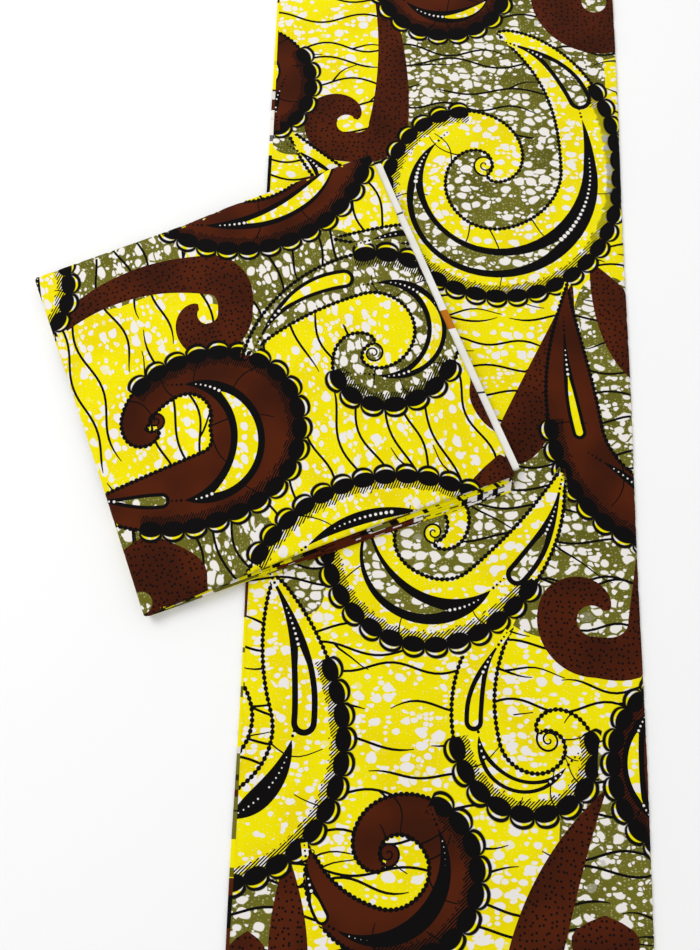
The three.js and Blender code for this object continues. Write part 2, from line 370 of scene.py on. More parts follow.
def leaf(art, row):
    """A drop along a line, round at its start and pointed at its end."""
    line = bent_line(row["x"], row["y"], row["heading"], row["length"], row["bend"])
    s = np.linspace(0, 1, len(line))
    peak = row["peak"]
    rounded = np.sqrt(np.clip(1 - (1 - s / peak) ** 2, 0, 1))
    pointed = np.cos(np.pi / 2 * np.clip((s - peak) / (1 - peak), 0, 1)) ** 0.9
    half = np.where(s < peak, rounded, pointed) * row["width"] / 2 + 0.3
    art.fill(tube(line, half), row["ink"])
    if row["beads"]:
        for side in (-1, 1):
            art.beads(line + side * normals_of(line) * half[:, None])


def veins(art, box, along, gap, seed):
    """Thin wavy lines that cross the cloth side by side, some of them forked."""
    rng = np.random.default_rng(seed)
    x0, y0, x1, y1 = box
    heading = 0 if along == "x" else 90
    at, high = (y0, y1) if along == "x" else (x0, x1)
    start, stop = (x0, x1) if along == "x" else (y0, y1)
    at += gap * rng.uniform(0.2, 0.8)
    while at < high:
        reach = start - rng.uniform(0, 60)
        while reach < stop:
            length = rng.uniform(170, 380)
            off = at + rng.normal(0, gap * 0.14)
            place = (reach, off) if along == "x" else (off, reach)
            bend = rng.uniform(-14, 14)
            line = bent_line(*place, heading - bend / 2, length, bend, 8, rng.uniform(0.22, 0.42),
                             length / rng.uniform(90, 150), rng.uniform(0, 6))
            s = np.linspace(0, 1, len(line))
            art.stroke(line, VEIN * (0.35 + 0.65 * np.clip(np.minimum(s, 1 - s) * 12, 0, 1)))
            if rng.random() < 0.6:
                k = rng.integers(3, len(line) - 4)
                turn = rng.choice([-1, 1]) * rng.uniform(22, 40)
                heading_here = heading_of(line[k + 1] - line[k])
                fork = bent_line(*line[k], heading_here + turn, rng.uniform(40, 90), -turn * 0.9, 8, 0.2, 1)
                art.stroke(fork, VEIN * np.linspace(1, 0.4, len(fork)))
            reach += length + rng.uniform(2, 26)
        at += gap * rng.uniform(0.75, 1.3)


# Where the motifs lie, in millimetres from the middle of the laid stretch or of the bundle
EVEN = (0, 0, 1)
SCROLL = ("name x y radius leave hand wide tight lean tail bend swell half lead thin snail "
          "ink ground scallops")
HOOK = "x y leave hand hole gap tail bend slim half sweep"
PATCH = "x y across along turn"
LEAF = "x y heading length bend width peak ink beads"
NEEDLE = "x y to_x to_y bulge width line solid ink"
CRESCENT = "x y to_x to_y bulge width line ink peak solid0 solid1 dot"

LAID_PATCHES = table(PATCH, [
    (72, 470, 140, 125, 0),
    (190, 560, 62, 60, 0),
    (-70, 350, 24, 40, 0),
    (202, 60, 46, 130, 0),
    (112, -60, 40, 62, 0),
    (150, -165, 100, 95, 0),
    (64, -122, 46, 48, 0),
    (-160, -190, 26, 50, 0),
    (180, -505, 52, 130, 0),
    (-205, -575, 40, 62, 0),
    (-196, 375, 30, 26, 0),
])
LAID_SCROLLS = table(SCROLL, [
    ("mid_left", -130, 200, 85, 60, -1, 2.0, 0.33, (0, 0), 165, -20, 0.8, 30, 0.8, EVEN, 10, YELLOW, None,
     [(0.0, 5.0)]),
    ("upper_left", -264, 452, 62, 80, -1, 2.4, 0.34, (0, 0), 80, 30, 0.8, 27, 1.0, EVEN, 10, MAROON, None,
     [(0.7, 4.2)]),
    ("top", 0, 626, 64, 190, 1, 2.6, 0.34, (0, 0), 60, 0, 0.8, 31, 1.0, EVEN, 10, MAROON, None,
     [(0.0, 3.4)]),
    ("great", 52, 341, 137, 6, -1, 1.95, 0.37, (0, -8), 240, 67, 0.6, 48, 0.78, EVEN, 16, YELLOW, OLIVE,
     [(-0.46, 4.4)]),
    ("right_mid", 290, 10, 132, 185, 1, 2.4, 0.34, (0, 0), 182, -15, 1.1, 37, 0.85, EVEN, 11, MAROON, None,
     [(-0.04, 3.0)]),
    ("right_low", 119, -370, 85, 182, 1, 0.3, 0.335, (0, 0), 172, -62, 0.5, 27, 0.95, EVEN, 14,
     YELLOW, YELLOW, [(-0.06, 3.2)]),
    ("middle", -10, -140, 93, -45, -1, 2.6, 0.44, (0, 0), 172, 36, 0.8, 42, 0.78, (0.45, 2.8, 4.8), 13,
     YELLOW, OLIVE, [(-0.25, 3.6)]),
    ("left_low", -268, -372, 119, 20, -1, 2.6, 0.34, (0, 0), 140, -2, 0.75, 46, 0.86, EVEN, 10, YELLOW, None,
     [(-0.25, 3.0)]),
    ("right_edge", 292, -397, 72, 100, 1, 3.0, 0.34, (0, 0), 60, 0, 0.8, 32, 1.0, EVEN, 10, MAROON, None,
     [(0.0, 3.6)]),
    ("bottom", -58, -493, 78, -110, 1, 1.6, 0.36, (6, -4), 108, -70, 0.8, 29, 0.85, EVEN, 14, MAROON, None,
     [(0.1, 2.75)]),
])
LAID_HOOKS = table(HOOK, [
    (-130, 396, 0, -1, 12, 30, 220, 22, 0.35, 26, 5.8),
    (172, -238, 0, -1, 17, 42, 170, 4, 0.6, 28, 5.75),
])
LAID_LEAVES = table(LEAF, [
    (76, -54, 61, 250, 18, 58, 0.2, DOTTED, False),
    (260, 48, 115, 178, 0, 66, 0.35, DOTTED, False),
    (88, -645, 80, 245, -25, 56, 0.2, DOTTED, False),
    (176, -640, 90, 92, 0, 72, 0.75, DOTTED, False),
    (-160, -645, 92, 150, 2, 42, 0.3, DOTTED, False),
    (-206, -640, 90, 66, 0, 40, 0.7, DOTTED, False),
])
LAID_DISCS = [(206, 601, 90, DOTTED), (202, 592, 17, OLIVE)]
LAID_NEEDLES = table(NEEDLE, [
    (97, 519, 182, 426, 16, 31, 6, 0.3, OLIVE),
    (-188, 352, -140, 285, 8, 24, 5, 0.4, YELLOW),
    (149, 112, 166, -23, -4, 17, 4.5, 0.42, YELLOW),
    (138, -88, 76, -198, 10, 26, 6, 0.42, OLIVE),
    (-192, -208, -156, -374, 14, 29, 7, 0.45, YELLOW),
    (62, -271, 36, -365, -9, 21, 5.5, 0.35, YELLOW),
    (-146, -508, -122, -566, -4, 16, 3.5, 0.5, YELLOW),
])
LAID_CRESCENTS = table(CRESCENT, [
    (-86, -130, 56, -206, -60, 22, 8, OLIVE, 0.45, 0.05, 0.28, 0.85),
    (41, -368, 137, -399, -36, 8, 4, YELLOW, 0.4, 0.18, 0.2, 0.6),
    (-4, -466, -110, -571, 54, 0, 9.5, BLACK, 0.5, 0.2, 0.2, 0.0),
    (-52, 584, 58, 592, -26, 9, 5, YELLOW, 0.6, 0.42, 0.05, 0.8),
    (192, -50, 262, -110, 4, 0, 5, BLACK, 0.5, 0.45, 0.4, 0.5),
    (-168, -378, -236, -462, 14, 0, 12, BLACK, 0.62, 0.5, 0.4, 0.45),
    (232, -336, 232, -452, -20, 12, 6, YELLOW, 0.5, 0.2, 0.2, 0.8),
    (-236, 500, -240, 440, 12, 8, 3, YELLOW, 0.5, 0.2, 0.2, 0.8),
    (-218, 445, -222, 408, -3, 0, 4, BLACK, 0.5, 0.45, 0.4, 0.5),
])
GREAT_CRESCENT = dict(start=-0.28, end=3.62, width=23, line=8.0, ink=OLIVE, peak=0.56,
                      solid0=0.36, solid1=0.14, dot=1.25)

BUNDLE_PATCHES = table(PATCH, [
    (-118, 196, 76, 50, 0),
    (64, 122, 100, 36, -3),
    (0, 60, 34, 30, 40),
    (-150, -188, 96, 58, 0),
    (222, 70, 26, 50, 0),
    (36, 86, 30, 24, 0),
    (186, 112, 36, 15, -18),
    (-222, -122, 24, 22, 0),
])
BUNDLE_SCROLLS = table(SCROLL, [
    ("corner", -264, 215, 60, 60, -1, 2.6, 0.34, (0, 0), 60, 10, 0.8, 22, 1.0, EVEN, 10, YELLOW, None,
     [(0.4, 3.0)]),
    ("far", 88, 318, 136, 196, 1, 3.0, 0.34, (0, 0), 60, 0, 0.8, 33, 1.0, EVEN, 10, MAROON, None,
     [(0.1, 3.1)]),
    ("low", 37, -360, 165, 165, -1, 2.8, 0.34, (0, 0), 60, 0, 0.8, 33, 1.0, EVEN, 10, YELLOW, None,
     [(0.56, 2.2)]),
    ("maroon", -142, -8, 70, -93, 1, 4.03, 0.8, (43, -30), 156, -24, 0.7, 54, 0.78, (0.62, 1.5, 3.3), 12,
     MAROON, None, [(-0.62, 3.75)]),
    ("olive", 131, -25, 78, 90, -1, 2.9, 0.46, (12, 25), 172, 42, 0.8, 28, 0.95, EVEN, 13, OLIVE, YELLOW,
     [(0.06, 1.1), (2.25, 4.35)]),
])
BUNDLE_HOOKS = table(HOOK, [
    (-38, 96, 70, -1, 12, 26, 196, 50, 0.4, 26, 5.5),
])
BUNDLE_DISCS = [(-226, -206, 13, OLIVE)]
BUNDLE_LEAVES = table(LEAF, [
    (262, 98, 168, 126, -8, 26, 0.3, OLIVE, True),
    (-226, -262, 76, 132, 0, 130, 0.6, DOTTED, False),
    (222, -292, 90, 96, 0, 110, 0.66, DOTTED, False),
    (246, -176, 90, 96, 0, 58, 0.5, DOTTED, False),
])
BUNDLE_NEEDLES = table(NEEDLE, [
    (14, 46, 148, 73, 20, 25, 5, 0.3, YELLOW),
    (-238, -74, -154, -106, -2, 19, 4.5, 0.3, OLIVE),
])
BUNDLE_CRESCENTS = table(CRESCENT, [
    (-94, 22, -140, -112, 75, 24, 8, YELLOW, 0.55, 0.2, 0.16, 0.85),
    (168, 58, 126, -53, 73, 12, 5.5, YELLOW, 0.5, 0.24, 0.2, 0.75),
    (-2, 210, 182, 234, -30, 16, 5.5, YELLOW, 0.62, 0.24, 0.05, 0.85),
    (-24, -214, 112, -226, 13, 0, 7.5, BLACK, 0.5, 0.75, 0.1, 0.95),
    (-216, 226, -230, 160, -5, 0, 5, BLACK, 0.5, 0.5, 0.4, 0.7),
    (186, 114, 250, 100, 3, 0, 4, BLACK, 0.5, 0.5, 0.4, 0.4),
])


def follow_scroll(art, row, mark):
    """A crescent that winds along inside a scroll."""
    line, _, measure, _ = spine(row)
    low, high = np.searchsorted(measure, (mark["start"], mark["end"]))
    crescent(art, resampled(line[low:high + 1], 6), mark)


def printed(patches, lines, leaves, discs, hooks, scrolls, crescents, needles, seed):
    """The whole print of a panel, from the ground up."""
    art = Print()
    for row in patches:
        patch(art, row)
    veins(art, *lines)
    for row in leaves:
        leaf(art, row)
    for x, y, radius, ink in discs:
        art.fill(circle(x, y, radius, 60), ink)
    for row in hooks:
        hook(art, row)
    for i, row in enumerate(scrolls):
        scroll(art, row, seed + i)
        if row["name"] == "great":
            follow_scroll(art, row, GREAT_CRESCENT)
    for row in crescents:
        crescent(art, arc(row["x"], row["y"], row["to_x"], row["to_y"], row["bulge"]), row)
    for row in needles:
        needle(art, row)
    return art


# The flat panel, cut along the edges of the print

def cut_flat(loops, points, merge, with_sources):
    """A flat mesh within the first loop, cut along all: vertices, triangles and each vertex's sources."""
    coords = [Vector(p) for loop in loops for p in loop] + [Vector(p) for p in points]
    faces, start = [], 0
    for loop in loops:
        faces.append(list(range(start, start + len(loop))))
        start += len(loop)
    found = delaunay_2d_cdt(coords, [], faces, 1, merge, with_sources)
    flat = np.array([tuple(v) for v in found[0]])
    triangles = np.array([t for t in found[2] if len(t) == 3])
    return flat, triangles[inside(flat[triangles].mean(axis=1), loops[0])], found[3]


def cut_panel(border, points, art):
    """Vertices, triangles, ink and mark of each triangle, and each corner's place in its lane."""
    low, high = border.min(axis=0), border.max(axis=0)
    shapes = []
    for shape in art.shapes:
        loop = shape["loop"]
        if (loop.max(axis=0) > low).all() and (loop.min(axis=0) < high).all():
            shapes.append(shape)
    flat, triangles, _ = cut_flat([border] + [shape["loop"] for shape in shapes], points, 1e-4, False)
    used, triangles = np.unique(triangles, return_inverse=True)
    flat, triangles = flat[used], triangles.reshape(-1, 3)
    a, b, c = flat[triangles[:, 0]], flat[triangles[:, 1]], flat[triangles[:, 2]]
    area = (b[:, 0] - a[:, 0]) * (c[:, 1] - a[:, 1]) - (b[:, 1] - a[:, 1]) * (c[:, 0] - a[:, 0])
    triangles[area < 0] = triangles[area < 0][:, ::-1]
    middle = flat[triangles].mean(axis=1)
    ink = np.full(len(triangles), YELLOW)
    lane = np.full(len(triangles), -1)
    for i, shape in enumerate(shapes):
        held = inside(middle, shape["loop"])
        if shape["ink"] is not None:
            ink[held] = shape["ink"]
            lane[held] = -1
        else:
            lane[held] = i
    mark = np.zeros(len(triangles))
    place = np.zeros((len(triangles), 3, 3))
    for i in np.unique(lane[lane >= 0]):
        row = shapes[i]["lane"]
        own = np.nonzero(lane == i)[0]
        mark[own] = row["kind"]
        first, _, _ = nearest_on(middle[own], row["line"])
        for corner in range(3):
            at, t, left = nearest_on(flat[triangles[own, corner]], row["line"], first, 3)
            place[own, corner, 0] = row["u"][at] * (1 - t) + row["u"][at + 1] * t
            place[own, corner, 1] = left / row["pitch"]
            place[own, corner, 2] = row["size"][at] * (1 - t) + row["size"][at + 1] * t
    return flat, triangles, ink, mark, place


def rim_of(triangles):
    """The boundary vertices of a flat mesh, in order."""
    edges = np.concatenate([triangles[:, [0, 1]], triangles[:, [1, 2]], triangles[:, [2, 0]]])
    known = {(a, b) for a, b in edges.tolist()}
    after = {a: b for a, b in known if (b, a) not in known}
    start = min(after)
    rim = [start]
    while after[rim[-1]] != start:
        rim.append(after[rim[-1]])
    return np.array(rim)


def new_piece(name, points, faces, material, *attributes):
    """A smooth piece. An attribute is its name, where it is held, and a number or vector for each place."""
    mesh = bpy.data.meshes.new(name)
    mesh.from_pydata((points * MM).tolist(), [], faces)
    for key, held_by, values in attributes:
        kind, slot = ("FLOAT_VECTOR", "vector") if values.ndim > 1 else ("FLOAT", "value")
        mesh.attributes.new(key, kind, held_by).data.foreach_set(slot, values.astype(float).ravel())
    mesh.polygons.foreach_set("use_smooth", np.ones(len(faces), bool))
    mesh.update()
    piece = bpy.data.objects.new(name, mesh)
    bpy.context.collection.objects.link(piece)
    mesh.materials.append(material)
    return piece


def closed_cloth(name, panel, shape, grid, material):
    """A closed shell: the cut panel on top, and a coarse underside that shares its outline."""
    flat, triangles, ink, mark, place = panel
    rim = rim_of(triangles)
    outline = flat[rim]
    under_flat, under, sources_of = cut_flat([outline], grid[inside(grid, outline)], 1e-6, True)
    under = under[:, ::-1] + len(flat)
    twin = {}
    for out, sources in enumerate(sources_of):
        for source in sources:
            if source < len(rim):
                twin[source] = out + len(flat)
    wall = []
    for k in range(len(rim)):
        a, b = rim[k], rim[(k + 1) % len(rim)]
        c, d = twin[k], twin[(k + 1) % len(rim)]
        wall += [(a, c, b), (b, c, d)]
    points = np.concatenate([shape(flat, 0.0), shape(under_flat, CLOTH_WALL)])
    faces = np.concatenate([triangles, under, np.array(wall)])
    cloth = np.concatenate([flat, under_flat])
    bare = np.zeros(len(faces) - len(triangles))
    return new_piece(
        name, points, faces.tolist(), material,
        ("cloth", "POINT", np.column_stack([cloth, np.zeros(len(cloth))])),
        ("ink", "FACE", np.concatenate([ink, bare])),
        ("mark", "FACE", np.concatenate([mark, bare])),
        ("lane", "CORNER", np.concatenate([place.reshape(-1, 3), np.zeros((len(bare) * 3, 3))])))


# Form of the laid stretch
laid_low, laid_high = (np.array(corner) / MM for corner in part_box("laid_top_panel"))
STRIP_MIDDLE = np.array([(laid_low[0] + laid_high[0]) / 2 - LAID_LEFT_INSET / 2, 0.0])
LAID_LEFT = -PANEL_WIDTH / 2 + LAID_LEFT_INSET
LAID_ROLL = PANEL_WIDTH / 2 - LAID_FOLD_RADIUS
LAID_RIGHT = LAID_ROLL + LAID_FOLD_RADIUS * math.pi / 2 + LAID_TOP - LAID_FOLD_RADIUS - LAID_FOLD_FOOT
ROLL_LINES = np.linspace(LAID_ROLL, LAID_RIGHT, 7)
LONG_EDGE = np.linspace(-CLOTH_WIDTH / 2, CLOTH_WIDTH / 2, 125)
BUNDLE_MIDDLE = STRIP_MIDDLE + BUNDLE_AT
TURN_COS, TURN_SIN = math.cos(BUNDLE_TURN), math.sin(BUNDLE_TURN)
# The stretch lies flat in the square that the bundle covers, with this half side
COVERED = 238


def wander(y, phase):
    return EDGE_WANDER * np.sin(2 * np.pi * y / WANDER_LENGTH + phase)


def to_bundle(x, y):
    """A place on the laid stretch, in the bundle's own frame."""
    dx, dy = x - BUNDLE_AT[0], y - BUNDLE_AT[1]
    return dx * TURN_COS + dy * TURN_SIN, -dx * TURN_SIN + dy * TURN_COS


# Soft creases of the laid stretch: where each runs, how wide and how deep it is
CREASE = "x y heading length width depth"
LAID_CREASES = table(CREASE, [
    (-188, -470, 88, 150, 16, -0.7),
    (-205, -330, 84, 90, 11, -0.4),
    (60, -300, 12, 120, 22, 0.3),
    (120, 60, 80, 140, 18, -0.3),
    (170, -80, 96, 90, 12, 0.25),
    (-20, 500, 92, 110, 20, -0.35),
    (190, 420, 86, 130, 15, 0.3),
    (10, -560, 4, 200, 26, 0.35),
    (-90, -250, 150, 80, 14, -0.3),
])


def creases(x, y, rows):
    z = np.zeros_like(x)
    for row in rows:
        a = math.radians(row["heading"])
        along = (x - row["x"]) * math.cos(a) + (y - row["y"]) * math.sin(a)
        across = -(x - row["x"]) * math.sin(a) + (y - row["y"]) * math.cos(a)
        across = across + 5 * np.sin(along / 41 + row["x"])
        fade = np.exp(-(along / (row["length"] / 2)) ** 2)
        z += row["depth"] * fade * np.exp(-(across / row["width"]) ** 2)
    return z


def laid_waves(x, y):
    """How far the laid top panel rises above flat, none of it under the bundle."""
    bx, by = to_bundle(x, y)
    outside = np.maximum(np.abs(bx), np.abs(by)) - COVERED
    z = creases(x, y, LAID_CREASES) + 0.22 * np.sin(x / 61 + y / 143) * np.sin(y / 97 - x / 310)
    return (z + 0.25) * smooth(outside, 2, 45)


def laid_shape(flat, depth):
    """The laid top panel at a depth below its upper face."""
    x, y = flat[:, 0], flat[:, 1]
    share = np.clip((x + PANEL_WIDTH / 2) / PANEL_WIDTH, 0, 1)
    drift = (1 - share) * wander(y, 2) + share * wander(y, 1)
    radius = LAID_FOLD_RADIUS - depth
    past = np.clip(x - LAID_ROLL, 0, None)
    turn = np.clip(past / LAID_FOLD_RADIUS, 0, math.pi / 2)
    down = np.clip(past - LAID_FOLD_RADIUS * math.pi / 2, 0, None)
    level = laid_waves(x, y) * (1 - smooth(past, 0, 2))
    px = np.minimum(x, LAID_ROLL) + radius * np.sin(turn) + drift
    pz = LAID_TOP + level - LAID_FOLD_RADIUS + radius * np.cos(turn) - down
    return np.column_stack([px + STRIP_MIDDLE[0], y + STRIP_MIDDLE[1], pz])


def scattered(low, high, step, seed):
    """Points on a staggered grid, moved a little so that no two rows look the same."""
    rng = np.random.default_rng(seed)
    xs = np.arange(low[0] + step / 2, high[0], step)
    ys = np.arange(low[1] + step / 2, high[1], step * 0.87)
    gx, gy = np.meshgrid(xs, ys)
    gx[1::2] += step / 2
    points = np.stack([gx.ravel(), gy.ravel()], axis=1)
    return points + rng.uniform(-0.12, 0.12, points.shape) * step


def laid_border():
    across = np.concatenate([np.linspace(LAID_LEFT, LAID_ROLL, 46), ROLL_LINES[1:]])
    near = np.column_stack([across, np.full(len(across), LONG_EDGE[0])])
    far = near[::-1] * [1, -1]
    right, left = (np.column_stack([np.full(len(LONG_EDGE), x), LONG_EDGE]) for x in (LAID_RIGHT, LAID_LEFT))
    return np.concatenate([near[:-1], right[:-1], far[:-1], left[:0:-1]])


def laid_points():
    low = (LAID_LEFT + 3, -CLOTH_WIDTH / 2 + 3)
    grid = scattered(low, (LAID_ROLL - 3, CLOTH_WIDTH / 2 - 3), 9.0, 1)
    y = LONG_EDGE[1:-1]
    return np.concatenate([grid, *(np.column_stack([np.full(len(y), x), y]) for x in ROLL_LINES[:-1])])


# Form of the bundle
CORNERS = np.array([(-228, -222), (231, -226), (227, 226), (-224, 222)], float)
SIDE_BOW = np.array([4, 1, 1.5, 1])
CORNER_RADIUS = 3.5
SIDE_POINTS, CORNER_POINTS = 44, 6
# The bundle's waves fade out over CALM_RIM towards these lines of its own frame
CALM_X, CALM_Y, CALM_RIM = 228, 224, 30


def bundle_outline(reach, bow_share=1.0):
    """Outline round the bundle. reach is how far each side's start and end stand out, near side first."""
    after = np.roll(CORNERS, -1, axis=0)
    along = unit(after - CORNERS)
    out = np.stack([along[:, 1], -along[:, 0]], axis=1)
    reach = np.array(reach, float)
    start, end = CORNERS + out * reach[:, :1], after + out * reach[:, 1:]

    def meet(i, k):
        p, d = start[i], end[i] - start[i]
        q, e = start[k], end[k] - start[k]
        r = q - p
        return p + d * (r[0] * e[1] - r[1] * e[0]) / (d[0] * e[1] - d[1] * e[0])

    corner = [meet(i - 1, i) for i in range(4)]
    points = []
    for i in range(4):
        a, b, before = corner[i], corner[(i + 1) % 4], corner[i - 1]
        first = a + unit(b - a) * CORNER_RADIUS
        arrive = a + unit(before - a) * CORNER_RADIUS
        t = np.linspace(0, 1, CORNER_POINTS)[:, None]
        points.append(arrive * (1 - t) ** 2 + a * 2 * t * (1 - t) + first * t ** 2)
        last = b - unit(b - a) * CORNER_RADIUS
        s = np.linspace(0, 1, SIDE_POINTS + 2)[1:-1, None]
        points.append(first * (1 - s) + last * s - out[i] * bow_share * SIDE_BOW[i] * 4 * s * (1 - s))
    return np.concatenate(points)


def moved_loop(loop, distance):
    """A loop moved outwards along its own normals."""
    along = unit(np.roll(loop, -1, axis=0) - np.roll(loop, 1, axis=0))
    return loop + np.stack([along[:, 1], -along[:, 0]], axis=1) * distance


def base_height(x, y):
    """Height of what the bundle lies on, at places in its own frame."""
    sx = BUNDLE_AT[0] + x * TURN_COS - y * TURN_SIN
    end = -PANEL_WIDTH / 2 - RAMP_START
    return (LAID_TOP + 0.3) * smoother(sx, end - RAMP_WIDTH, end)


def pulled_in(points, loop):
    """The nearest place inside a loop, and how far and which way each point lies outside it."""
    closed = np.concatenate([loop, loop[:1]])
    near = np.empty_like(points)
    for start in range(0, len(points), 4000):
        part = slice(start, start + 4000)
        index, t, _ = nearest_on(points[part], closed)
        near[part] = closed[index] * (1 - t[:, None]) + closed[index + 1] * t[:, None]
    held = inside(points, loop)
    away = points - near
    distance = np.where(held, 0.0, np.linalg.norm(away, axis=1))
    near[held] = points[held]
    return near, distance, unit(away)


TOP_RIM = bundle_outline([(0, 0)] * 4)
ROLL_START = moved_loop(TOP_RIM, -LIP_RADIUS)
INNER_LOOP = bundle_outline([(-INNER_INSET, -INNER_INSET)] * 4, 0.0)
BUNDLE_CREASES = table(CREASE, [
    (-150, 120, 64, 150, 16, -0.5),
    (-196, -60, 82, 120, 12, -0.35),
    (150, -130, 100, 130, 18, 0.35),
    (40, 160, 12, 150, 20, -0.3),
    (-20, -150, 170, 120, 20, 0.3),
    (195, 90, 86, 120, 12, -0.35),
])


def bundle_shape(flat, depth):
    """The bundle's top panel at a depth below its upper face."""
    near, distance, out = pulled_in(flat, ROLL_START)
    radius = LIP_RADIUS - depth
    turn = np.clip(distance / LIP_RADIUS, 0, math.pi / 2)
    down = np.clip(distance - LIP_RADIUS * math.pi / 2, 0, None)
    place = near + out * (radius * np.sin(turn))[:, None]
    x, y = near[:, 0], near[:, 1]
    calm = smooth(np.minimum(CALM_X - np.abs(x), CALM_Y - np.abs(y)), 0, CALM_RIM)
    waves = 0.3 * np.sin(x / 72 + 1) * np.sin(y / 58 + x / 240)
    rise = (creases(x, y, BUNDLE_CREASES) + waves + 0.3) * calm
    base, _, _ = pulled_in(near, INNER_LOOP)
    z = base_height(base[:, 0], base[:, 1]) + BUNDLE_TOP + rise
    z = z - LIP_RADIUS + radius * np.cos(turn) - down
    return to_world(place, z)


def to_world(place, z):
    """Places in the bundle's own frame, in the part's frame."""
    x = BUNDLE_MIDDLE[0] + place[:, 0] * TURN_COS - place[:, 1] * TURN_SIN
    y = BUNDLE_MIDDLE[1] + place[:, 0] * TURN_SIN + place[:, 1] * TURN_COS
    return np.column_stack([x, y, z])


# Layers whose folds show at the edges, from the bottom up: near0 and near1 at the near side's two ends
BUNDLE_LAYERS = table("piece thick near0 near1 right far left", [
    ("lower", 1.0, -1.0, 15.5, -7, -3.0, -1.5),
    ("lower", 1.3, -1.6, 14.6, -6, -2.4, -2.6),
    ("lower", 1.1, -0.5, 12.8, -6, -3.1, -2.2),
    ("lower", 1.2, -0.9, 11.2, -5, -2.0, -2.9),
    ("lower", 1.0, -0.5, 8.9, -4, -2.8, -1.0),
    ("lower", 1.3, -1.4, 7.3, -3, -2.2, -1.9),
    ("lower", 1.1, -1.0, 5.2, -4, -1.0, -2.4),
    ("lower", 1.2, -1.2, 3.9, -5, -1.7, -1.8),
    ("selvedge", 1.0, -4.5, -8.0, 9.0, -14, -4),
    ("selvedge", 1.0, -4.0, -7.0, 9.6, -14, -4),
    ("upper", 1.2, -2.5, -2.0, -2.5, -2.5, -2.5),
    ("upper", 1.0, -2.2, -2.2, -2.7, -2.4, -2.8),
    ("upper", 1.2, -2.6, -2.5, -2.5, -2.6, -2.4),
])
BOTTOM = {"lower": 0.0, "selvedge": 9.5, "upper": 11.8}
# A layer's rounded nose: heights as shares of its thickness, and how far in each ring lies
BUNDLE_NOSE = ((0.06, 0.55), (0.25, 0.12), (0.5, 0.0), (0.75, 0.12), (0.94, 0.55))
LAID_NOSE = ((0.06, 0.5), (0.25, 0.1), (0.5, 0.0), (0.75, 0.1), (0.94, 0.5))


def noses(rows, level, profile):
    """Each layer of a stack from the bottom up: its number, its row, and its rings' heights and insets."""
    for i, row in enumerate(rows):
        rings = [[level + up * row["thick"], inset] for up, inset in profile]
        if i == 0:
            rings[0][0] = level
        level += row["thick"]
        if i == len(rows) - 1:
            rings[-1][0] = level
        yield i + 1, row, rings


def loft(name, rings, material, edge):
    """A closed solid from rings of equal count, capped with a fan at each end."""
    count = len(rings[0])
    points = np.concatenate([rings[0].mean(axis=0)[None], *rings, rings[-1].mean(axis=0)[None]])
    faces = []
    last = len(points) - 1
    for k in range(count):
        n = (k + 1) % count
        faces.append((0, 1 + n, 1 + k))
        faces.append((last, 1 + (len(rings) - 1) * count + k, 1 + (len(rings) - 1) * count + n))
        for r in range(len(rings) - 1):
            a, b = 1 + r * count + k, 1 + r * count + n
            faces.append((a, b, b + count, a + count))
    return new_piece(name, points, faces, material, ("edge", "POINT", edge))


def bundle_stack(name, group, material, bow_share):
    """Hidden layers of the bundle as one solid with a rounded nose for each layer round its rim."""
    rng = np.random.default_rng(len(group))
    rings, edge = [], []
    rows = [row for row in BUNDLE_LAYERS if row["piece"] == group]

    def add(loop, z, layer):
        near, _, _ = pulled_in(loop, INNER_LOOP)
        rings.append(to_world(loop, base_height(near[:, 0], near[:, 1]) + z))
        edge.append(np.column_stack([lengths_of(TOP_RIM), np.full(len(loop), layer), np.full(len(loop), z)]))

    for share in (0.3, 0.7, 1.0):
        add(INNER_LOOP * share, BOTTOM[group], 0)
    for layer, row, nose in noses(rows, BOTTOM[group], BUNDLE_NOSE):
        sides = [(row[side], row[side]) for side in ("right", "far", "left")]
        rim = bundle_outline([(row["near0"], row["near1"])] + sides, bow_share)
        s = np.linspace(0, 2 * np.pi, len(rim), endpoint=False)
        sway = sum(rng.uniform(0.1, 0.3) * np.sin(k * s + rng.uniform(0, 6)) for k in (5, 9, 14))
        rim = moved_loop(rim, sway[:, None])
        for z, inset in nose:
            add(moved_loop(rim, -inset), z, layer)
    for share in (1.0, 0.7, 0.3):
        add(INNER_LOOP * share, nose[-1][0], 0)
    middle = np.zeros((1, 3))
    return loft(name, rings, material, np.concatenate([middle, *edge, middle]))


LAID_LAYERS = table("thick left right", [
    (1.0, 2.2, 2.6),
    (1.0, 0.2, 1.8),
    (1.0, 0.0, 2.3),
])


def laid_stack(name, material):
    """The hidden panels of the laid stretch as one solid, a rounded nose for each along both long edges."""
    y = np.linspace(-CLOTH_WIDTH / 2, CLOTH_WIDTH / 2, 90)
    half = PANEL_WIDTH / 2
    right, left = [], []
    for layer, row, nose in noses(LAID_LAYERS, 0.0, LAID_NOSE):
        sway = 0.25 * np.sin(y / (28 + 9 * layer) + layer - 1)
        for z, inset in nose:
            right.append((half - row["right"] - inset + wander(y, 1) + sway, z, layer))
            left.append((-half + row["left"] + inset + wander(y, 0) + sway, z, layer))
    ring = right + left[::-1]
    rows, edge = [], []
    for x, z, layer in ring:
        rows.append(np.column_stack([x + STRIP_MIDDLE[0], y, np.full(len(y), z)]))
        edge.append(np.column_stack([y, np.full(len(y), layer), np.full(len(y), z)]))
    count, n = len(y), len(ring)
    faces = []
    for r in range(n):
        s = (r + 1) % n
        for k in range(count - 1):
            faces.append((r * count + k, s * count + k, s * count + k + 1, r * count + k + 1)[::-1])
    faces.append([r * count for r in range(n)])
    faces.append([r * count + count - 1 for r in range(n)][::-1])
    return new_piece(name, np.concatenate(rows), faces, material, ("edge", "POINT", np.concatenate(edge)))


# Materials

